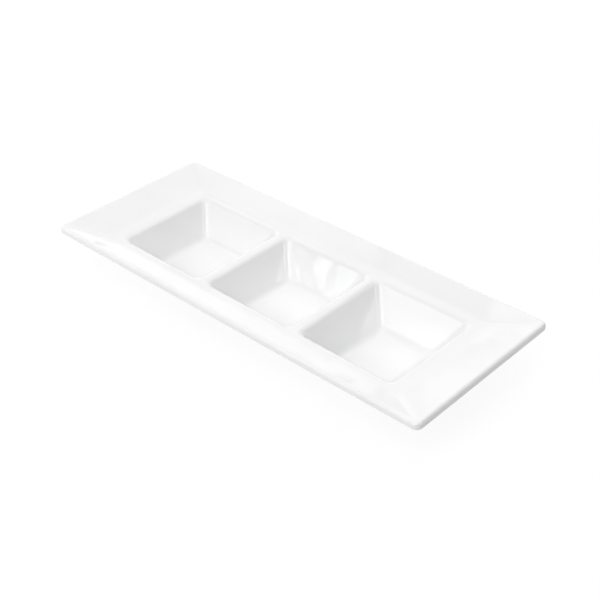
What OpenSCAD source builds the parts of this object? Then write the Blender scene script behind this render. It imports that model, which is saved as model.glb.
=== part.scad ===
// Divided serving dish in glazed white porcelain: one firing with a wide sloping rim
// and three nearly square wells, drawn here as the regions that meet face to face in it,
// the ground feet below and the glaze coat around it. Units are millimetres, +Z is
// up, X runs along the dish and Z = 0 is the table.

/* [Wells] */
// Length of a well along the dish, at the top of its rounded lip
well_length = 89.9; // [70:0.1:110]
// Width of a well across the dish, at the top of its rounded lip
well_width = 94.1; // [70:0.1:110]
// Width of the crest between two neighbouring wells
divider_width = 1; // [0.6:0.1:12]
// Height of the lip above the well floor
well_depth = 26.1; // [16:0.1:36]
// Lean of the well walls away from upright, in degrees
wall_lean = 36; // [25:1:50]
// Plan radius of a well's corners at the lip
lip_corner = 6; // [4:0.5:16]
// Plan radius of a well's corners at the floor
floor_corner = 4.5; // [3:0.1:14]
// Radius that rolls the lip over into the wall
lip_radius = 6; // [1.5:0.1:9]
// Radius of the hollow where the wall meets the floor
floor_fillet = 10; // [4:0.5:20]

/* [Rim] */
// Width of the rim along the long sides
side_rim = 24.95; // [18:0.05:50]
// Width of the rim at the two ends
end_rim = 39.15; // [22:0.05:70]
// Height of the rim's edge above the lip
rim_rise = 7.2; // [3:0.1:20]
// Thickness of the rim at its edge
edge_thickness = 6; // [3.5:0.1:10]
// Radius along the top of the edge
edge_top_radius = 2.2; // [0.8:0.1:3]
// Radius along the bottom of the edge
edge_under_radius = 1.8; // [0.8:0.1:3]
// Plan radius of the dish's four corners
edge_corner = 4.5; // [3:0.5:20]
// Length over which the rim levels out before the lip
rim_ease = 3; // [1:0.1:8]

/* [Body] */
// Thickness of the well walls
wall_thickness = 4.8; // [3:0.1:8]
// Thickness of the well floors
floor_thickness = 4.8; // [3:0.1:8]
// Radius around the underside of a well
under_radius = 6; // [2:0.5:12]
// Height of the crown along a divider's crest
crest_crown = 0.1; // [0.05:0.05:1.2]

/* [Feet] */
// Height of the ground foot rings
foot_height = 2; // [1:0.1:5]
// Width of the ground face of a foot ring
foot_width = 3.2; // [1.5:0.1:6]
// Set-back of a foot ring from the rounded edge of the well's underside
foot_inset = 1.2; // [0.6:0.1:4]

/* [Glaze] */
// Thickness of the glaze coat
glaze = 0.35; // [0.15:0.05:0.8]
// Bare margin wiped clean beside a foot ring
wipe = 0.6; // [0.3:0.1:2]

/* [Hidden] */

corner_steps = 6;      // chords in a quarter turn of a plan corner
lip_steps = 4;         // chords in the rolled lip
fillet_steps = 5;      // chords in the hollow at the floor
edge_steps = 6;        // chords in each round of the rim's edge
ease_steps = 2;        // chords where the rim levels out
under_steps = 3;       // chords in the round under a well
corner_limit_share = 0.8;  // most of a ring's half side that its corner may take
edge_room_share = 0.48;    // most of the edge's face that one round may take
fillet_room_share = 0.8;   // most of a wall or floor that a hollow may take
foot_corner_share = 0.45;  // a foot's plan radius, of its half side

bisque = [0.93, 0.90, 0.84];
white = [0.96, 0.96, 0.95];

// Plan sizes of the bare body, inside the glaze
pitch = well_length + divider_width;
half_well = well_length / 2;
half_lip_x = pitch + half_well;
half_lip_y = well_width / 2;
side_w = side_rim - glaze;
end_w = end_rim - glaze;
half_x = half_lip_x + end_w;
half_y = half_lip_y + side_w;

// Heights of the bare body above the table
under_z = foot_height;
floor_z = under_z + floor_thickness;
lip_z = floor_z + well_depth;
edge_top_z = lip_z + rim_rise;
edge_under_z = edge_top_z - edge_thickness + 2 * glaze;
// The sketch corner of the edge stands a little over the top of its round
rim_slope = atan(rim_rise / (side_w - rim_ease));
edge_z = edge_top_z
    + (edge_top_radius - glaze) * (1 / cos(rim_slope) + tan(rim_slope) - 1);

// The wall's sketch: where its line leaves the lip, and its thickness read upright
lip_run = lip_radius * tan((90 - wall_lean) / 2);
wall_run = well_depth * tan(wall_lean);
wall_upright = wall_thickness / sin(wall_lean);
lip_thickness = wall_upright - lip_run / tan(wall_lean);
under_lip_z = lip_z - lip_thickness;
under_run = lip_run + (lip_z - under_z - wall_upright) * tan(wall_lean);

// One corner of a sketch rounded off: a is the point before it, c the point after
function along(p, q, d) = p + (q - p) * d / norm(q - p);
function turn(a, b, c) =
    let (u = (a - b) / norm(a - b), v = (c - b) / norm(c - b))
    180 - acos(max(-1, min(1, u * v)));
function rounded(a, b, c, r, n, room_share = 1) =
    let (t = turn(a, b, c),
         reach = r * tan(t / 2),
         room = room_share * min(norm(a - b), norm(c - b)),
         cut = min(reach, room),
         rr = cut / tan(t / 2),
         mid = (along(b, a, cut) + along(b, c, cut)) / 2,
         centre = b + (mid - b) * (rr / cos(t / 2)) / norm(mid - b),
         p0 = along(b, a, cut) - centre,
         side = (p0[0] * (along(b, c, cut) - centre)[1]
                 - p0[1] * (along(b, c, cut) - centre)[0]) > 0 ? 1 : -1)
    [for (i = [0 : n]) let (w = side * t * i / n)
        centre + [p0[0] * cos(w) - p0[1] * sin(w), p0[0] * sin(w) + p0[1] * cos(w)]];

// Sections, as [inset, height] points
// Rim: from the lip, over the top, round the edge and back along the underside
rim_top = concat(
    rounded([side_w, lip_z], [side_w - rim_ease, lip_z], [0, edge_z],
            rim_ease / tan(turn([side_w, lip_z], [side_w - rim_ease, lip_z],
                                [0, edge_z]) / 2), ease_steps),
    rounded([side_w - rim_ease, lip_z], [0, edge_z], [0, edge_under_z],
            edge_top_radius - glaze, edge_steps, edge_room_share),
    rounded([0, edge_z], [0, edge_under_z], [side_w, under_lip_z],
            edge_under_radius - glaze, edge_steps, edge_room_share),
    [[side_w, under_lip_z]]);

// Well: from the lip down the wall and across the hollow to the level floor
well_top = concat(
    rounded([0, lip_z], [lip_run, lip_z], [lip_run + wall_run, floor_z],
            lip_radius, lip_steps),
    rounded([lip_run, lip_z], [lip_run + wall_run, floor_z],
            [half_well, floor_z], floor_fillet, fillet_steps, fillet_room_share));
// Well: the same under the wall, down to the level underside
well_under = concat(
    [[0, under_lip_z]],
    rounded([0, under_lip_z], [under_run, under_z], [half_well, under_z],
            under_radius, under_steps, fillet_room_share));
flat_under = half_well - well_under[len(well_under) - 1][0];
foot_outer = flat_under - wipe - foot_inset;
foot_inner = foot_outer - foot_width;
foot_corner = foot_outer * foot_corner_share;
// A foot is longer across the dish than along it, as its well is
foot_stretch = half_lip_y - half_well;

// Directions square to a section, outwards from the porcelain
function square_to(d) = [-d[1], d[0]] / norm(d);
function normals(p, first, last, flip) =
    [for (i = [0 : len(p) - 1])
        i == 0 ? first : i == len(p) - 1 ? last :
        let (n = square_to(p[i] - p[i - 1]) + square_to(p[i + 1] - p[i]))
        flip * n / norm(n) / cos(turn(p[i - 1], p[i], p[i + 1]) / 2)];
function coated(p, n, g) = [for (i = [0 : len(p) - 1]) p[i] + n[i] * g];

up = [0, 1];
down = [0, -1];
rim_normals = normals(rim_top, up, down, -1);
well_normals = normals(well_top, up, up, 1);
under_normals = normals(well_under, down, down, -1);

// Rings: rounded rectangles of one section point each
function quarter(sx, sy, a0, hx, hy, r, z, cx) =
    [for (i = [0 : corner_steps]) let (a = a0 + 90 * i / corner_steps)
        [cx + sx * (hx - r) + r * cos(a), sy * (hy - r) + r * sin(a), z]];

function four_corners(hx, hy, r, z, cx) =
    concat(quarter(1, 1, 0, hx, hy, r, z, cx), quarter(-1, 1, 90, hx, hy, r, z, cx),
           quarter(-1, -1, 180, hx, hy, r, z, cx), quarter(1, -1, 270, hx, hy, r, z, cx));

function well_corner_at(v) =
    let (t = max(0, min(1, v / (lip_run + wall_run))))
    lip_corner + (floor_corner - lip_corner) * t;
function well_ring(p, cx) =
    let (hx = half_well - p[0])
    four_corners(hx, half_lip_y - p[0],
                 min(well_corner_at(p[0]), hx * corner_limit_share), p[1], cx);

function rim_ring(p) =
    let (u = p[0],
         t = u / side_w,
         far = max(0, (u - edge_top_radius) / (side_w - edge_top_radius)),
         hx = half_x - u - (end_w - side_w) * far,
         hy = half_y - u,
         r = edge_corner + (lip_corner - edge_corner) * t,
         k = (hx - r) / (half_lip_x - lip_corner),
         xs = k * [pitch - (half_well - lip_corner), pitch / 2, half_well - lip_corner])
    concat(quarter(1, 1, 0, hx, hy, r, p[1], 0),
           [for (i = [0 : 2]) [xs[i], hy, p[1]]], [for (i = [2 : -1 : 0]) [-xs[i], hy, p[1]]],
           quarter(-1, 1, 90, hx, hy, r, p[1], 0), quarter(-1, -1, 180, hx, hy, r, p[1], 0),
           [for (i = [0 : 2]) [-xs[i], -hy, p[1]]], [for (i = [2 : -1 : 0]) [xs[i], -hy, p[1]]],
           quarter(1, -1, 270, hx, hy, r, p[1], 0));

ring_n = 4 * (corner_steps + 1);
rim_n = ring_n + 12;

// Faces between rings that follow one another, and a cap over a last ring
function flat(lists) = [for (l = lists) each l];
function band(a, b, n) =
    [for (j = [0 : n - 1]) let (k = (j + 1) % n) each
        [[a + j, b + j, b + k], [a + j, b + k, a + k]]];
function cap(a, n) = [[for (j = [0 : n - 1]) a + j]];
function backwards(faces) = [for (f = faces) [for (i = [len(f) - 1 : -1 : 0]) f[i]]];

// A solid ring whose section closes on itself
module ring_loft(rings, n) {
    m = len(rings);
    polyhedron(points = flat(rings), convexity = 8,
               faces = flat([for (i = [0 : m - 1]) band(i * n, ((i + 1) % m) * n, n)]));
}
// A solid stack of rings with a cap at both ends
module stack_loft(rings, n) {
    m = len(rings);
    polyhedron(points = flat(rings), convexity = 8,
               faces = concat(cap(0, n), flat([for (i = [0 : m - 2]) band(i * n, (i + 1) * n, n)]),
                              backwards(cap((m - 1) * n, n))));
}

module rim() {
    color(bisque) ring_loft([for (p = rim_top) rim_ring(p)], rim_n);
}

module well(place) {
    rings = concat([for (i = [len(well_top) - 1 : -1 : 0]) well_ring(well_top[i], place * pitch)],
                   [for (p = well_under) well_ring(p, place * pitch)]);
    color(bisque) stack_loft(rings, ring_n);
}
module left_well() well(-1);
module middle_well() well(0);
module right_well() well(1);

// Divider: the crest between two wells, lofted along Y between their lip corners
function crest_half(a) = divider_width / 2 + lip_corner * (1 - cos(a));
crest_turns = concat([for (i = [corner_steps : -1 : 0]) [-1, 90 * i / corner_steps]],
                     [for (i = [0 : corner_steps]) [1, 90 * i / corner_steps]]);
function crest_y(s) = s[0] * (half_lip_y - lip_corner + lip_corner * sin(s[1]));
function crest_section(s, cx) =
    let (w = crest_half(s[1]), y = crest_y(s))
    [[cx - w, y, under_lip_z], [cx + w, y, under_lip_z], [cx + w, y, lip_z],
     [cx, y, lip_z + crest_crown * cos(s[1])], [cx - w, y, lip_z]];
function crest_end(a) = [[a + 3, a, a + 1], [a + 3, a + 1, a + 2], [a + 3, a + 4, a]];
module divider(place) {
    sections = [for (s = crest_turns) crest_section(s, place * pitch / 2)];
    m = len(sections);
    color(bisque) polyhedron(
        points = flat(sections), convexity = 4,
        faces = concat(crest_end(0), flat([for (i = [0 : m - 2]) band(i * 5, (i + 1) * 5, 5)]),
                       backwards(crest_end((m - 1) * 5))));
}
module left_divider() divider(-1);
module right_divider() divider(1);

// Foot: a ground ring that stays bare
module rounded_oblong(a, r) {
    b = a + foot_stretch;
    square([2 * a, 2 * (b - r)], center = true);
    square([2 * (a - r), 2 * b], center = true);
    for (x = [-1, 1], y = [-1, 1]) translate([x * (a - r), y * (b - r)]) circle(r, $fn = 48);
}
module foot(place) {
    color(bisque) translate([place * pitch, 0, 0]) linear_extrude(foot_height) difference() {
        rounded_oblong(foot_outer, foot_corner);
        rounded_oblong(foot_inner, foot_inner * foot_corner_share);
    }
}
module left_foot() foot(-1);
module middle_foot() foot(0);
module right_foot() foot(1);

// Glaze: one coat over the rim, the wells and the dividers, open only at the feet.
// Its inner skin is the porcelain's own surface and its outer skin lies one coat off.
// Both skins share one numbering: rim rings, well rings, crests, undersides.
rim_m = len(rim_top);
top_m = len(well_top) - 1;
under_m = len(well_under);
side_n = corner_steps + 1;
stations = 2 * side_n;
crest_n = 3 * (stations - 2);
top_base = rim_m * rim_n;
under_base = top_base + 3 * top_m * ring_n;
crest_base = under_base + 3 * under_m * ring_n;
skin_n = crest_base + 4 * crest_n;

// Number of a crest point: level 0 is the top and 1 the underside, d the divider,
// s the station from front to back, c the column from left to right
function crest_id(level, d, s, c) =
    s == 0 ? level * (rim_m - 1) * rim_n + 3 * side_n + 6 + c + 3 * d :
    s == stations - 1 ? level * (rim_m - 1) * rim_n + side_n + 5 - c - 3 * d :
    crest_base + (2 * level + d) * crest_n + 3 * (s - 1) + c;
// Number of the point at a well's lip: w the well, q its corner, i the chord in it
function lip_id(level, w, q, i) =
    (q == 0 || q == 3) && w < 2 ? crest_id(level, w, q == 0 ? side_n + i : i, 0) :
    (q == 1 || q == 2) && w > 0 ?
        crest_id(level, w - 1, q == 1 ? stations - 1 - i : side_n - 1 - i, 2) :
    level * (rim_m - 1) * rim_n + q * side_n + (q == 0 ? 0 : q == 3 ? 12 : 6) + i;
function lip_ids(level, w) =
    [for (q = [0 : 3], i = [0 : corner_steps]) lip_id(level, w, q, i)];

function sew(a, b) =
    [for (j = [0 : len(a) - 1]) let (k = (j + 1) % len(a)) each
        [[a[j], b[j], b[k]], [a[j], b[k], a[k]]]];
function run_of(base, n) = [for (j = [0 : n - 1]) base + j];

function margin_ring(cx, z) =
    let (h = foot_outer + wipe)
    four_corners(h, h + foot_stretch, foot_corner + wipe, z, cx);
function recess_ring(cx, z) =
    let (h = foot_inner - wipe)
    four_corners(h, h + foot_stretch, h * foot_corner_share, z, cx);

function crest_points(d, z, g, crown) =
    flat([for (n = [1 : stations - 2])
        let (s = crest_turns[n], w = crest_half(s[1]), y = crest_y(s),
             cx = (d - 1 / 2) * pitch, c = crown * cos(s[1]))
        [[cx - w, y, z + g], [cx, y, z + g + c], [cx + w, y, z + g]]]);

function skin_points(g) =
    let (rim_p = coated(rim_top, rim_normals, g),
         top_p = coated(well_top, well_normals, g),
         low_p = coated(well_under, under_normals, g))
    concat(flat([for (p = rim_p) rim_ring(p)]),
           flat([for (w = [0 : 2], i = [1 : top_m]) well_ring(top_p[i], (w - 1) * pitch)]),
           flat([for (w = [0 : 2]) concat(
               flat([for (i = [1 : under_m - 1]) well_ring(low_p[i], (w - 1) * pitch)]),
               margin_ring((w - 1) * pitch, under_z - g))]),
           flat([for (d = [0 : 1]) crest_points(d, lip_z, g, crest_crown)]),
           flat([for (d = [0 : 1]) crest_points(d, under_lip_z, -g, 0)]));

skin_faces = concat(
    flat([for (i = [0 : rim_m - 2]) band(i * rim_n, (i + 1) * rim_n, rim_n)]),
    flat([for (w = [0 : 2]) let (b = top_base + w * top_m * ring_n) concat(
        sew(run_of(b, ring_n), lip_ids(0, w)),
        flat([for (i = [0 : top_m - 2]) band(b + (i + 1) * ring_n, b + i * ring_n, ring_n)]),
        cap(b + (top_m - 1) * ring_n, ring_n))]),
    flat([for (w = [0 : 2]) let (b = under_base + w * under_m * ring_n) concat(
        sew(lip_ids(1, w), run_of(b, ring_n)),
        flat([for (i = [0 : under_m - 2]) band(b + i * ring_n, b + (i + 1) * ring_n, ring_n)]))]),
    flat([for (level = [0, 1], d = [0, 1], s = [0 : stations - 2], c = [0, 1])
        let (q = [crest_id(level, d, s, c), crest_id(level, d, s, c + 1),
                  crest_id(level, d, s + 1, c + 1), crest_id(level, d, s + 1, c)],
             f = [[q[0], q[2], q[1]], [q[0], q[3], q[2]]])
        level == 0 ? backwards(f) : f]));

function shifted(faces, n) = [for (f = faces) [for (i = f) i + n]];

module glaze() {
    recess = flat([for (w = [-1 : 1], z = [under_z, under_z - glaze])
        recess_ring(w * pitch, z)]);
    color(white) polyhedron(
        convexity = 10,
        points = concat(skin_points(glaze), skin_points(0), recess),
        faces = concat(
            skin_faces, backwards(shifted(skin_faces, skin_n)),
            flat([for (w = [0 : 2])
                let (b = under_base + w * under_m * ring_n + (under_m - 1) * ring_n)
                band(b, b + skin_n, ring_n)]),
            flat([for (w = [0 : 2]) let (b = 2 * skin_n + 2 * w * ring_n)
                concat(cap(b, ring_n), band(b, b + ring_n, ring_n),
                       backwards(cap(b + ring_n, ring_n)))])));
}

rim();
left_well();
middle_well();
right_well();
left_divider();
right_divider();
left_foot();
middle_foot();
right_foot();
glaze();
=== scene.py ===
"""Divided serving dish: the glazed coat, the bare feet and the porcelain under them."""

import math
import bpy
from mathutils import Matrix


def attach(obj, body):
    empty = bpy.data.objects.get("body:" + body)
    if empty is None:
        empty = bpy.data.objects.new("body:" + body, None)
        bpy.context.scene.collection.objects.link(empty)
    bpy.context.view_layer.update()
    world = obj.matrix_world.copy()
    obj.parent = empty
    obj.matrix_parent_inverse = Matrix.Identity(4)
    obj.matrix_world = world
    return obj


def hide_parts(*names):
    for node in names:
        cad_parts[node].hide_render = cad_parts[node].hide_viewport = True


bl_info = {
    "name": "Divided Serving Dish",
    "version": (1, 0, 0),
    "blender": (4, 5, 0),
    "location": "3D View > Sidebar > Dish",
    "description": "Glazed porcelain serving dish with three nearly square wells",
    "category": "Object",
}

import bmesh
import bpy
from mathutils import Matrix, Vector

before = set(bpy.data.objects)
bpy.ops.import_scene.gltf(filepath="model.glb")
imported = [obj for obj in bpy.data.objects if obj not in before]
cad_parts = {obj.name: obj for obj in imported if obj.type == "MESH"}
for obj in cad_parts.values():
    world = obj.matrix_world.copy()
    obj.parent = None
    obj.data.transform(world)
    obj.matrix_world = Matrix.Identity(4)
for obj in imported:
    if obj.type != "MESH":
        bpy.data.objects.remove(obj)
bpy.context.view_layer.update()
MM = 0.001

# Distance under which two points count as one
NEAR = 1e-6
# Largest share of a side that the rounding at one of its ends may take
EDGE_SHARE = 0.48
HOLLOW_SHARE = 0.8
# Chords along the straight stretches of the sections
RIM_CHORDS = 10
FACE_CHORDS = 3
RIM_UNDER_CHORDS = 8
WALL_CHORDS = 8
WELL_UNDER_CHORDS = 6
# Extra chords in the wide hollow at a well's floor
HOLLOW_CHORDS = 4
# Where the floor's rings lie, as shares of the way to the middle
FLOOR_STOPS = (0.03, 0.2, 0.5)
# Chords round a foot's ground edge
FOOT_CHORDS = 6
# Plan radius of a foot ring's corners, as a share of its half length
FOOT_CORNER = 0.45


# Sizes and colours


def size(name, description, default, **extra):
    return bpy.props.FloatProperty(
        name=name,
        description=description,
        default=default,
        min=0.0,
        unit="LENGTH",
        subtype="DISTANCE",
        precision=5,
        **extra,
    )


def tint(name, description, default):
    return bpy.props.FloatVectorProperty(
        name=name,
        description=description,
        default=default,
        size=3,
        min=0.0,
        max=1.0,
        subtype="COLOR",
    )


class DishShape(bpy.types.PropertyGroup):
    well_length: size("Well length", "Well at its lip, along the dish", 89.9 * MM)
    well_width: size("Well width", "Well at its lip, across the dish", 94.1 * MM)
    divider_width: size("Divider width", "Width of the crest between two wells", 1.0 * MM)
    well_depth: size("Well depth", "Height of the lip above the well floor", 26.1 * MM)
    wall_lean: bpy.props.FloatProperty(
        name="Wall lean",
        description="Lean of the well walls away from upright",
        default=math.radians(36.0),
        subtype="ANGLE",
        unit="ROTATION",
    )
    lip_corner: size("Lip corner", "Plan radius of a well's corners at the lip", 6.0 * MM)
    floor_corner: size("Floor corner", "Plan radius of a well's corners at the floor", 4.5 * MM)
    lip_radius: size("Lip radius", "Radius that rolls the lip into the wall", 6.0 * MM)
    floor_fillet: size("Floor hollow", "Radius where the wall meets the floor", 10.0 * MM)
    side_rim: size("Side rim", "Width of the rim along the long sides", 24.95 * MM)
    end_rim: size("End rim", "Width of the rim at the two ends", 39.15 * MM)
    rim_rise: size("Rim rise", "Height of the rim's edge above the lip", 7.2 * MM)
    rim_ease: size("Rim ease", "Length over which the rim levels out", 3.0 * MM)
    edge_thickness: size("Edge thickness", "Thickness of the rim at its edge", 6.0 * MM)
    edge_top: size("Edge top radius", "Radius along the top of the edge", 2.2 * MM)
    edge_under: size("Edge under radius", "Radius along the bottom of the edge", 1.8 * MM)
    edge_corner: size("Edge corner", "Plan radius of the dish's four corners", 4.5 * MM)
    wall_thickness: size("Wall thickness", "Thickness of the well walls", 4.8 * MM)
    floor_thickness: size("Floor thickness", "Thickness of the well floors", 4.8 * MM)
    under_radius: size("Under radius", "Radius around the underside of a well", 6.0 * MM)
    crest_crown: size("Crest crown", "Height of the crown along a divider", 0.1 * MM)
    foot_height: size("Foot height", "Height of the ground foot rings", 2.0 * MM)
    foot_width: size("Foot width", "Width of a foot ring", 3.2 * MM)
    foot_inset: size("Foot inset", "Set-back of a foot ring under its well", 1.2 * MM)
    foot_round: size("Foot round", "Radius of a foot's ground edges", 0.6 * MM)
    glaze: size("Glaze", "Thickness of the glaze coat", 0.35 * MM)
    wipe: size("Wipe", "Bare margin wiped clean beside a foot", 0.6 * MM)
    corner_steps: bpy.props.IntProperty(
        name="Corner steps", description="Chords in a plan corner", default=16, min=2
    )
    edge_steps: bpy.props.IntProperty(
        name="Edge steps", description="Chords in a round of the rim's edge", default=6, min=2
    )
    round_steps: bpy.props.IntProperty(
        name="Round steps", description="Chords in a rounded section", default=8, min=2
    )


def number(name, description, default):
    return bpy.props.FloatProperty(name=name, description=description, default=default, min=0)


class DishFinish(bpy.types.PropertyGroup):
    glaze_white: tint("Glaze white", "Colour of the glaze over the porcelain", (0.87, 0.87, 0.87))
    glaze_pool: tint("Glaze pool", "Colour where the glaze gathers thicker", (0.845, 0.846, 0.848))
    bisque: tint("Bisque", "Colour of the fired porcelain under the glaze", (0.80, 0.76, 0.68))
    bare: tint("Bare foot", "Colour of the ground foot", (0.74, 0.69, 0.60))
    gloss: bpy.props.FloatProperty(
        name="Glaze roughness", description="Roughness of the glaze", default=0.035, min=0, max=1
    )
    wave: size("Wave height", "Height of the glaze's slow waviness", 0.3 * MM)
    peel: size("Peel height", "Height of the glaze's fine ripple", 0.006 * MM)
    cloud_scale: number("Cloud scale", "How close the glaze's clouds lie", 22.0)
    wave_scale: number("Wave scale", "How close the glaze's waves lie", 45.0)
    peel_scale: number("Peel scale", "How close the glaze's ripples lie", 260.0)
    fleck_scale: number("Fleck scale", "How close the bare clay's flecks lie", 900.0)
    grain_scale: number("Grain scale", "How close the bare clay's grains lie", 1800.0)
    matt: number("Clay roughness", "Roughness of the bare clay", 0.85)


class DishStage(bpy.types.PropertyGroup):
    distance: size("Camera distance", "From the aim point to the camera", 0.8133)
    azimuth: bpy.props.FloatProperty(
        name="Azimuth", description="Camera turn to the right", default=math.radians(42.8),
        subtype="ANGLE", unit="ROTATION",
    )
    elevation: bpy.props.FloatProperty(
        name="Elevation", description="Camera height angle", default=math.radians(34.72),
        subtype="ANGLE", unit="ROTATION",
    )
    roll: bpy.props.FloatProperty(
        name="Roll", description="Camera roll", default=math.radians(-0.51),
        subtype="ANGLE", unit="ROTATION",
    )
    aim: bpy.props.FloatVectorProperty(
        name="Aim", description="Point the camera looks at", default=(0.02896, -0.01837, 0.03745),
        subtype="TRANSLATION", unit="LENGTH",
    )
    lens: bpy.props.FloatProperty(
        name="Lens", description="Focal length in millimetres", default=69.41, min=1
    )


# Sections drawn as sketch corners with fillets


def along(p, q, d):
    return p + (q - p) * (d / (q - p).length)


def turn(a, b, c):
    return math.pi - (a - b).angle(c - b)


def rounded(a, b, c, r, n, share=1.0):
    """One corner b of a sketch rounded off between a and c with n chords."""
    t = turn(a, b, c)
    cut = min(r * math.tan(t / 2), share * min((a - b).length, (c - b).length))
    rr = cut / math.tan(t / 2)
    p0, p1 = along(b, a, cut), along(b, c, cut)
    mid = (p0 + p1) / 2
    centre = b + (mid - b) * (rr / math.cos(t / 2) / (mid - b).length)
    d0, d1 = p0 - centre, p1 - centre
    side = 1 if d0.x * d1.y - d0.y * d1.x > 0 else -1
    return [centre + Matrix.Rotation(side * t * i / n, 2) @ d0 for i in range(n + 1)]


def stretch(a, b, n):
    """Points between a and b, both left out, close to the ends and wide between."""
    return [a + (b - a) * (0.5 - 0.5 * math.cos(math.pi * i / n)) for i in range(1, n)]


def coated(points, first, last, flip, g):
    """The section moved g off the porcelain, square to itself."""
    out = []
    for i, p in enumerate(points):
        if i == 0 or i == len(points) - 1:
            out.append(p + (first if i == 0 else last) * g)
            continue
        d0, d1 = (p - points[i - 1]).normalized(), (points[i + 1] - p).normalized()
        n = (Vector((-d0.y, d0.x)) + Vector((-d1.y, d1.x))).normalized()
        out.append(p + n * (flip * g / math.cos(turn(points[i - 1], p, points[i + 1]) / 2)))
    return out


class Plan:
    """Every place and section of the dish, worked out from its named sizes."""

    def __init__(self, s):
        self.s = s
        g = s.glaze
        v = lambda x, z: Vector((x, z))
        self.pitch = s.well_length + s.divider_width
        self.half_l = s.well_length / 2
        self.lip_x = self.pitch + self.half_l
        self.lip_y = s.well_width / 2
        self.side_w, self.end_w = s.side_rim - g, s.end_rim - g
        self.half_x, self.half_y = self.lip_x + self.end_w, self.lip_y + self.side_w
        self.under_z = s.foot_height
        self.floor_z = self.under_z + s.floor_thickness
        self.lip_z = self.floor_z + s.well_depth
        edge_top_z = self.lip_z + s.rim_rise
        edge_under_z = edge_top_z - s.edge_thickness + 2 * g
        slope = math.atan(s.rim_rise / (self.side_w - s.rim_ease))
        edge_z = edge_top_z + (s.edge_top - g) * (1 / math.cos(slope) + math.tan(slope) - 1)
        self.lip_run = s.lip_radius * math.tan((math.pi / 2 - s.wall_lean) / 2)
        self.wall_run = s.well_depth * math.tan(s.wall_lean)
        upright = s.wall_thickness / math.sin(s.wall_lean)
        self.under_lip_z = self.lip_z + self.lip_run / math.tan(s.wall_lean) - upright
        under_run = (self.under_lip_z - self.under_z) * math.tan(s.wall_lean)
        n = s.round_steps
        up, down = v(0, 1), v(0, -1)

        lip = v(self.side_w, self.lip_z)
        ease = v(self.side_w - s.rim_ease, self.lip_z)
        top, low = v(0, edge_z), v(0, edge_under_z)
        back = v(self.side_w, self.under_lip_z)
        ease_r = s.rim_ease / math.tan(turn(lip, ease, top) / 2)
        a = rounded(lip, ease, top, ease_r, n)
        b = rounded(ease, top, low, s.edge_top - g, s.edge_steps, EDGE_SHARE)
        c = rounded(top, low, back, s.edge_under - g, s.edge_steps, EDGE_SHARE)
        rim = a + stretch(a[-1], b[0], RIM_CHORDS) + b + stretch(b[-1], c[0], FACE_CHORDS) + c
        rim += stretch(c[-1], back, RIM_UNDER_CHORDS) + [back]
        self.rim = coated(rim, up, down, -1, g)

        edge = v(self.lip_run, self.lip_z)
        hollow = v(self.lip_run + self.wall_run, self.floor_z)
        centre = v(self.half_l, self.floor_z)
        a = rounded(v(0, self.lip_z), edge, hollow, s.lip_radius, n)
        b = rounded(edge, hollow, centre, s.floor_fillet, n + HOLLOW_CHORDS, HOLLOW_SHARE)
        level = [b[-1] + (centre - b[-1]) * t for t in FLOOR_STOPS]
        well = a + stretch(a[-1], b[0], WALL_CHORDS) + b + level
        self.well = coated(well, up, up, 1, g)

        start = v(0, self.under_lip_z)
        corner = v(under_run, self.under_z)
        middle = v(self.half_l, self.under_z)
        c = rounded(start, corner, middle, s.under_radius, n, HOLLOW_SHARE)
        self.flat_under = self.half_l - c[-1].x
        self.foot_outer = self.flat_under - s.wipe - s.foot_inset
        self.foot_inner = self.foot_outer - s.foot_width
        self.foot_stretch = self.lip_y - self.half_l
        under = [start] + stretch(start, c[0], WELL_UNDER_CHORDS) + c
        self.under = coated(under, down, down, -1, g)

    def rim_ring(self, p):
        t = p.x / self.side_w
        far = max(0.0, (p.x - self.s.edge_top) / (self.side_w - self.s.edge_top))
        hx = self.half_x - p.x - (self.end_w - self.side_w) * far
        r = self.s.edge_corner + (self.s.lip_corner - self.s.edge_corner) * t
        return hx, self.half_y - p.x, r, p.y

    def well_ring(self, p):
        t = max(0.0, min(1.0, p.x / (self.lip_run + self.wall_run)))
        h = self.half_l - p.x
        r = min(self.s.lip_corner + (self.s.floor_corner - self.s.lip_corner) * t,
                h * HOLLOW_SHARE)
        return h, self.lip_y - p.x, r, p.y


# Rings: rounded rectangles that are drawn once and then grown


def plate(bm, hx, hy, r, z, cx, steps):
    """A flat rounded rectangle, and its one face."""
    place = Matrix.Translation((cx, 0, z)) @ Matrix.Diagonal((hx, hy, 1, 1))
    made = bmesh.ops.create_grid(bm, x_segments=1, y_segments=1, size=1, matrix=place)
    cut = bmesh.ops.bevel(
        bm, geom=made["verts"], offset=r, offset_type="OFFSET", segments=steps,
        profile=0.5, affect="VERTICES", material=-1,
    )
    return cut["verts"][0].link_faces[0]


def move_ring(bm, verts, old, new, cx):
    """Moves a ring from one rounded rectangle to the next, corner by corner."""
    ox, oy, o_r, oz = old
    nx, ny, n_r, nz = new
    rise = nz - oz
    for sx in (1, -1):
        for sy in (1, -1):
            group = [
                v for v in verts
                if (v.co.x - cx) * sx > ox - o_r - NEAR and v.co.y * sy > oy - o_r - NEAR
            ]
            centre = Vector((cx + sx * (ox - o_r), sy * (oy - o_r), oz))
            target = Vector((cx + sx * (nx - n_r), sy * (ny - n_r), nz))
            k = n_r / o_r
            bmesh.ops.scale(bm, vec=(k, k, 1), space=Matrix.Translation(-centre), verts=group)
            bmesh.ops.translate(bm, vec=target - centre, verts=group)
            verts = [v for v in verts if v not in set(group)]
    for sy in (1, -1):
        bmesh.ops.translate(
            bm, vec=(0, sy * (ny - oy), rise), verts=[v for v in verts if v.co.y * sy > 0]
        )


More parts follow.
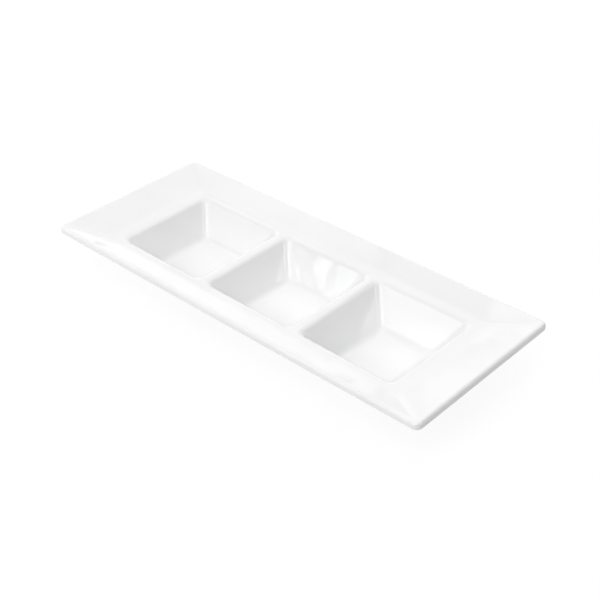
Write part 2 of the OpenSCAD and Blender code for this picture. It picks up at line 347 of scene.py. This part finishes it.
def grow(bm, edges, rings, cx):
    """Extrudes an edge loop through a list of rings and returns the last loop."""
    for old, new in zip(rings, rings[1:]):
        made = bmesh.ops.extrude_edge_only(bm, edges=edges)["geom"]
        verts = [g for g in made if isinstance(g, bmesh.types.BMVert)]
        fresh = set(verts)
        edges = [
            g for g in made
            if isinstance(g, bmesh.types.BMEdge) and all(v in fresh for v in g.verts)
        ]
        move_ring(bm, verts, old, new, cx)
    return edges


def boundary(verts_or_edges):
    return [e for e in verts_or_edges if e.is_valid and len(e.link_faces) == 1]


def wells_and_crests(bm, plan, z, crown):
    """The wells' openings at one height, joined by the crests between them."""
    s = plan.s
    half = plan.lip_y
    plates = []
    for place in (-1, 0, 1):
        cx = place * plan.pitch
        plates.append(plate(bm, plan.half_l, half, s.lip_corner, z, cx, s.corner_steps))
    for left, right, middle in ((0, 1, -0.5), (1, 2, 0.5)):
        line = middle * plan.pitch
        near = []
        for face, sign in ((plates[left], -1), (plates[right], 1)):
            near += [
                e for e in face.edges
                if all(
                    (v.co.x - line) * sign > 0
                    and abs(v.co.x - line) < s.divider_width / 2 + s.lip_corner + NEAR
                    for v in e.verts
                )
            ]
        made = bmesh.ops.bridge_loops(bm, edges=near)
        across = [
            e for f in made["faces"] for e in f.edges
            if (e.verts[0].co.x - line) * (e.verts[1].co.x - line) < 0
        ]
        cut = bmesh.ops.subdivide_edges(bm, edges=list(set(across)), cuts=1, use_grid_fill=True)
        for v in [g for g in cut["geom_inner"] if isinstance(g, bmesh.types.BMVert)]:
            out = max(0.0, abs(v.co.y) - (half - s.lip_corner)) / s.lip_corner
            rise = crown * math.sqrt(max(0.0, 1 - min(1.0, out) ** 2))
            bmesh.ops.translate(bm, vec=(0, 0, rise), verts=[v])
    return plates


def glaze_skin(bm, plan):
    """The outer skin of the glaze: wells and crests, the rim, and the underside."""
    s = plan.s
    tops = wells_and_crests(bm, plan, plan.lip_z + s.glaze, s.crest_crown)
    outline = boundary(bm.edges)
    for place, face in zip((-1, 0, 1), tops):
        edges = list(face.edges)
        bmesh.ops.delete(bm, geom=[face], context="FACES_ONLY")
        rings = [plan.well_ring(p) for p in plan.well]
        last = grow(bm, edges, rings, place * plan.pitch)
        bmesh.ops.edgeloop_fill(bm, edges=last)
    rings = [plan.rim_ring(p) for p in plan.rim]
    grow(bm, outline, rings, 0)
    lows = wells_and_crests(bm, plan, plan.under_lip_z - s.glaze, 0)
    margin = plan.foot_outer + s.wipe
    r = plan.foot_outer * FOOT_CORNER + s.wipe
    for place, face in zip((-1, 0, 1), lows):
        edges = list(face.edges)
        bmesh.ops.delete(bm, geom=[face], context="FACES_ONLY")
        rings = [plan.well_ring(p) for p in plan.under]
        rings.append((margin, margin + plan.foot_stretch, r, plan.under_z - s.glaze))
        grow(bm, edges, rings, place * plan.pitch)
    bmesh.ops.remove_doubles(bm, verts=bm.verts, dist=NEAR)
    bmesh.ops.recalc_face_normals(bm, faces=bm.faces)


def recess_coats(bm, plan):
    """The small coat inside each foot ring."""
    s = plan.s
    a = plan.foot_inner - s.wipe
    b = a + plan.foot_stretch
    r = a * FOOT_CORNER
    soft = s.glaze / 2
    top, low = plan.under_z, plan.under_z - s.glaze
    for place in (-1, 0, 1):
        edges = list(plate(bm, a, b, r, top, place * plan.pitch, s.corner_steps).edges)
        rings = [(a, b, r, top), (a, b, r, low + soft)]
        rings += [(a - d, b - d, r - d, low) for d in (soft, 4 * soft)]
        last = grow(bm, edges, rings, place * plan.pitch)
        bmesh.ops.edgeloop_fill(bm, edges=last)


def foot_ring(bm, plan, place):
    """A ground ring with softened edges, flat where it stands."""
    s = plan.s
    k = FOOT_CORNER
    e = s.foot_round
    a, b = plan.foot_outer, plan.foot_inner
    turns = [i * math.pi / 2 / FOOT_CHORDS for i in range(FOOT_CHORDS + 1)]
    arc = [(1 - math.cos(t), 1 - math.sin(t)) for t in turns]
    rings = [(a, a * k, s.foot_height)]
    rings += [(a - e * u, a * k - e * u, e * w) for u, w in arc]
    rings += [(b + e * u, b * k + e * u, e * w) for u, w in reversed(arc)]
    rings += [(b, b * k, s.foot_height)]
    rings = [(h, h + plan.foot_stretch, r, z) for h, r, z in rings]
    b = a + plan.foot_stretch
    face = plate(bm, a, b, a * k, s.foot_height, place * plan.pitch, s.corner_steps)
    edges = list(face.edges)
    bmesh.ops.delete(bm, geom=[face], context="FACES_ONLY")
    last = grow(bm, edges, rings, place * plan.pitch)
    bmesh.ops.bridge_loops(bm, edges=edges + last)
    bmesh.ops.recalc_face_normals(bm, faces=bm.faces)


def finished(name, bm, material, node):
    """A finished piece in its place, riding on the dish."""
    for f in bm.faces:
        f.smooth = True
    mesh = bpy.data.meshes.new(name)
    bm.to_mesh(mesh)
    bm.free()
    mesh.materials.append(material)
    piece = bpy.data.objects.new(name, mesh)
    bpy.context.scene.collection.objects.link(piece)
    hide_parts(node)
    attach(piece, "root")
    return piece


# Finishes


def blank(name):
    m = bpy.data.materials.new(name)
    m.use_nodes = True
    t = m.node_tree
    t.nodes.clear()
    out = t.nodes.new("ShaderNodeOutputMaterial")
    return m, t, out


def node(t, kind, **values):
    n = t.nodes.new(kind)
    for key, value in values.items():
        if key in n.inputs:
            n.inputs[key].default_value = value
        else:
            setattr(n, key, value)
    return n


def noise(t, coords, scale, detail=2.0, rough=0.5):
    n = node(t, "ShaderNodeTexNoise", Scale=scale, Detail=detail, Roughness=rough)
    t.links.new(coords, n.inputs["Vector"])
    return n.outputs["Fac"]


def spread(t, value, start, end, first=0.0, last=1.0):
    """A value between start and end, carried over to between first and last."""
    span = {"From Min": start, "From Max": end, "To Min": first, "To Max": last}
    n = node(t, "ShaderNodeMapRange", **span)
    t.links.new(value, n.inputs["Value"])
    return n.outputs["Result"]


def glaze_material(finish):
    m, t, out = blank("porcelain_glaze")
    link = t.links.new
    shader = node(t, "ShaderNodeBsdfPrincipled", Roughness=finish.gloss, IOR=1.5)
    link(shader.outputs["BSDF"], out.inputs["Surface"])
    coords = node(t, "ShaderNodeTexCoord").outputs["Object"]
    cloud = noise(t, coords, finish.cloud_scale)
    mix = node(t, "ShaderNodeMix", data_type="RGBA")
    mix.inputs[6].default_value = (*finish.glaze_white, 1)
    mix.inputs[7].default_value = (*finish.glaze_pool, 1)
    link(spread(t, cloud, 0.45, 0.75), mix.inputs[0])
    link(mix.outputs[2], shader.inputs["Base Color"])
    wave = node(t, "ShaderNodeBump", Strength=1.0, Distance=finish.wave)
    link(noise(t, coords, finish.wave_scale, detail=1.0), wave.inputs["Height"])
    peel = node(t, "ShaderNodeBump", Strength=1.0, Distance=finish.peel)
    link(noise(t, coords, finish.peel_scale, detail=1.0), peel.inputs["Height"])
    link(wave.outputs["Normal"], peel.inputs["Normal"])
    link(peel.outputs["Normal"], shader.inputs["Normal"])
    return m


def bisque_material(name, colour, grain, finish):
    m, t, out = blank(name)
    link = t.links.new
    shader = node(t, "ShaderNodeBsdfPrincipled", Roughness=finish.matt, IOR=1.5)
    link(shader.outputs["BSDF"], out.inputs["Surface"])
    coords = node(t, "ShaderNodeTexCoord").outputs["Object"]
    fleck = noise(t, coords, finish.fleck_scale, detail=3.0, rough=0.7)
    mix = node(t, "ShaderNodeMix", data_type="RGBA")
    mix.inputs[6].default_value = (*[c * 0.9 for c in colour], 1)
    mix.inputs[7].default_value = (*[min(1, c * 1.06) for c in colour], 1)
    link(fleck, mix.inputs[0])
    link(mix.outputs[2], shader.inputs["Base Color"])
    bump = node(t, "ShaderNodeBump", Strength=0.6, Distance=grain)
    grains = noise(t, coords, finish.grain_scale, detail=4.0, rough=0.7)
    link(grains, bump.inputs["Height"])
    link(bump.outputs["Normal"], shader.inputs["Normal"])
    return m


# From where to where, in metres off the dish, the floor's shadow gives way to plain
# white, and how much of the white it can take away near the dish
SHADOW_REACH = (0.4, 1.6)
SHADOW_ROOM = 0.1


def seen_or_mirrored(t):
    """1 for what the camera sees by itself or mirrored in the gloss, else 0."""
    path = node(t, "ShaderNodeLightPath")
    seen = node(t, "ShaderNodeMath", operation="MAXIMUM")
    t.links.new(path.outputs["Is Camera Ray"], seen.inputs[0])
    t.links.new(path.outputs["Is Glossy Ray"], seen.inputs[1])
    return seen.outputs[0]


def grey(level):
    return (level, level, level, 1)


def floor_material():
    """White to the camera and in the gloss, with the dish's own soft shadow kept.

    From below it is clear, so that the underside can be looked at.
    """
    m, t, out = blank("studio_white")
    link = t.links.new
    matt = node(t, "ShaderNodeBsdfDiffuse", Color=grey(0.7))
    faint = node(t, "ShaderNodeBsdfDiffuse", Color=grey(0.12))
    shine = node(t, "ShaderNodeEmission", Color=grey(1.0))
    away = node(t, "ShaderNodeVectorMath", operation="LENGTH")
    link(node(t, "ShaderNodeTexCoord").outputs["Object"], away.inputs[0])
    whiter = spread(t, away.outputs["Value"], *SHADOW_REACH, 1.0 - SHADOW_ROOM, 1.0)
    link(whiter, shine.inputs["Strength"])
    both = node(t, "ShaderNodeAddShader")
    link(faint.outputs[0], both.inputs[0])
    link(shine.outputs[0], both.inputs[1])
    mix = node(t, "ShaderNodeMixShader")
    link(seen_or_mirrored(t), mix.inputs[0])
    link(matt.outputs[0], mix.inputs[1])
    link(both.outputs[0], mix.inputs[2])
    clear = node(t, "ShaderNodeBsdfTransparent")
    side = node(t, "ShaderNodeMixShader")
    link(node(t, "ShaderNodeNewGeometry").outputs["Backfacing"], side.inputs[0])
    link(mix.outputs[0], side.inputs[1])
    link(clear.outputs[0], side.inputs[2])
    link(side.outputs[0], out.inputs["Surface"])
    return m


# Light and view


# Strength of the plain room, and of the white that the camera sees behind the floor
ROOM = 0.15
BACKDROP = 1.0

# Radius of the floor in metres, and the sides of its round outline
FLOOR_RADIUS = 6.0
FLOOR_SIDES = 96

# Camera sensor width in millimetres and how far it sees in metres
SENSOR = 36.0
FAR_CLIP = 50.0

# Softboxes: name, degrees left of the front, degrees up, width and height in metres,
# and brightness, where 1 is as bright as white paper
SOFTBOXES = (
    ("overhead", 0, 90, 1.2, 2.4, 1.27),
    ("front_box", 7, 38, 1.6, 0.53, 2.5),
    ("front_left_box", 59, 22, 1.0, 0.42, 1.3),
    ("high_front_box", -25, 56, 1.0, 0.4, 3.2),
    ("right_strip", -108, 42, 0.3, 0.4, 4.5),
    ("left_strip", 91, 51, 0.2, 0.35, 1.6),
    ("back_panel", 180, 35, 2.4, 1.0, 0.3),
    ("back_left_horizon", 140, 4, 2.4, 0.2, 1.4),
    ("back_left_low", 137, 16, 2.4, 0.42, 1.05),
    ("back_left_high", 132, 42, 2.0, 0.95, 0.76),
    ("front_horizon", 0, 4, 2.4, 0.2, 2.0),
)


def softbox(name, left, up, width, height, bright, far=1.5):
    data = bpy.data.lights.new(name, "AREA")
    data.shape = "RECTANGLE"
    data.size, data.size_y = width, height
    data.energy = bright * math.pi * width * height
    o = bpy.data.objects.new(name, data)
    a, e = math.radians(left), math.radians(up)
    place = far * Vector((-math.sin(a) * math.cos(e), -math.cos(a) * math.cos(e), math.sin(e)))
    aim = Vector((0, 0, bpy.context.scene.dish_stage.aim[2]))
    o.location = place
    o.rotation_euler = (aim - place).to_track_quat("-Z", "Y").to_euler()
    o.visible_camera = False
    bpy.context.scene.collection.objects.link(o)


def room_light():
    """A dim plain room that the camera itself sees as white."""
    world = bpy.data.worlds.new("studio")
    bpy.context.scene.world = world
    world.use_nodes = True
    t = world.node_tree
    t.nodes.clear()
    link = t.links.new
    out = t.nodes.new("ShaderNodeOutputWorld")
    soft = node(t, "ShaderNodeBackground", Color=grey(1.0), Strength=ROOM)
    white = node(t, "ShaderNodeBackground", Color=grey(1.0), Strength=BACKDROP)
    mix = node(t, "ShaderNodeMixShader")
    link(node(t, "ShaderNodeLightPath").outputs["Is Camera Ray"], mix.inputs[0])
    link(soft.outputs[0], mix.inputs[1])
    link(white.outputs[0], mix.inputs[2])
    link(mix.outputs[0], out.inputs["Surface"])


def photo_camera(stage):
    data = bpy.data.cameras.new("camera")
    data.lens = stage.lens
    data.sensor_width = SENSOR
    data.clip_end = FAR_CLIP
    a, e, r = stage.azimuth, stage.elevation, stage.roll
    ahead = Vector((-math.sin(a) * math.cos(e), math.cos(a) * math.cos(e), -math.sin(e)))
    right = Vector((math.cos(a), math.sin(a), 0))
    above = right.cross(ahead)
    x = math.cos(r) * right + math.sin(r) * above
    y = -math.sin(r) * right + math.cos(r) * above
    turned = Matrix((x, y, -ahead)).transposed().to_4x4()
    o = bpy.data.objects.new("camera", data)
    o.matrix_world = Matrix.Translation(Vector(stage.aim) - ahead * stage.distance) @ turned
    bpy.context.scene.collection.objects.link(o)
    bpy.context.scene.camera = o


# Operators


class DISH_OT_glaze(bpy.types.Operator):
    """Make the glaze coat over the rim, the wells and the dividers"""

    bl_idname = "dish.glaze"
    bl_label = "Glaze coat"

    def execute(self, context):
        plan = Plan(context.scene.dish_shape)
        bm = bmesh.new()
        glaze_skin(bm, plan)
        bmesh.ops.solidify(bm, geom=list(bm.faces), thickness=plan.s.glaze)
        recess_coats(bm, plan)
        bmesh.ops.recalc_face_normals(bm, faces=bm.faces)
        finish = context.scene.dish_finish
        finished("glaze_coat", bm, glaze_material(finish), "glaze")
        return {"FINISHED"}


class DISH_OT_feet(bpy.types.Operator):
    """Make the three bare foot rings with their ground faces"""

    bl_idname = "dish.feet"
    bl_label = "Foot rings"

    def execute(self, context):
        plan = Plan(context.scene.dish_shape)
        finish = context.scene.dish_finish
        bare = bisque_material("ground_foot", finish.bare, 0.03 * MM, finish)
        for place, name in ((-1, "left"), (0, "middle"), (1, "right")):
            bm = bmesh.new()
            foot_ring(bm, plan, place)
            finished(f"{name}_foot_ring", bm, bare, f"{name}_foot")
        return {"FINISHED"}


class DISH_OT_porcelain(bpy.types.Operator):
    """Give the fired porcelain under the glaze its own matt finish"""

    bl_idname = "dish.porcelain"
    bl_label = "Porcelain body"

    def execute(self, context):
        finish = context.scene.dish_finish
        body = bisque_material("fired_porcelain", finish.bisque, 0.02 * MM, finish)
        for name in ("rim", "left_well", "middle_well", "right_well", "left_divider",
                     "right_divider"):
            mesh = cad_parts[name].data
            mesh.materials.clear()
            mesh.materials.append(body)
        return {"FINISHED"}


class DISH_OT_stage(bpy.types.Operator):
    """Set the pale floor, the studio light and the camera"""

    bl_idname = "dish.stage"
    bl_label = "Stage, light and camera"

    def execute(self, context):
        bm = bmesh.new()
        bmesh.ops.create_circle(bm, cap_ends=True, segments=FLOOR_SIDES, radius=FLOOR_RADIUS)
        mesh = bpy.data.meshes.new("floor")
        bm.to_mesh(mesh)
        bm.free()
        mesh.materials.append(floor_material())
        floor = bpy.data.objects.new("floor", mesh)
        context.scene.collection.objects.link(floor)
        room_light()
        for box in SOFTBOXES:
            softbox(*box)
        photo_camera(context.scene.dish_stage)
        context.scene.view_settings.view_transform = "Standard"
        return {"FINISHED"}


class DISH_PT_panel(bpy.types.Panel):
    bl_idname = "DISH_PT_panel"
    bl_label = "Divided dish"
    bl_space_type = "VIEW_3D"
    bl_region_type = "UI"
    bl_category = "Dish"

    def draw(self, context):
        for word in ("glaze", "feet", "porcelain", "stage"):
            self.layout.operator("dish." + word)
        for group in ("dish_shape", "dish_finish", "dish_stage"):
            box = self.layout.box()
            values = getattr(context.scene, group)
            for name in values.__annotations__:
                box.prop(values, name)


CLASSES = (DishShape, DishFinish, DishStage, DISH_OT_glaze, DISH_OT_feet,
           DISH_OT_porcelain, DISH_OT_stage, DISH_PT_panel)


def register():
    for c in CLASSES:
        bpy.utils.register_class(c)
    bpy.types.Scene.dish_shape = bpy.props.PointerProperty(type=DishShape)
    bpy.types.Scene.dish_finish = bpy.props.PointerProperty(type=DishFinish)
    bpy.types.Scene.dish_stage = bpy.props.PointerProperty(type=DishStage)


def unregister():
    for name in ("dish_shape", "dish_finish", "dish_stage"):
        delattr(bpy.types.Scene, name)
    for c in reversed(CLASSES):
        bpy.utils.unregister_class(c)


def main():
    register()
    bpy.ops.dish.stage()
    bpy.ops.dish.porcelain()
    bpy.ops.dish.feet()
    bpy.ops.dish.glaze()


if __name__ == "__main__":
    main()
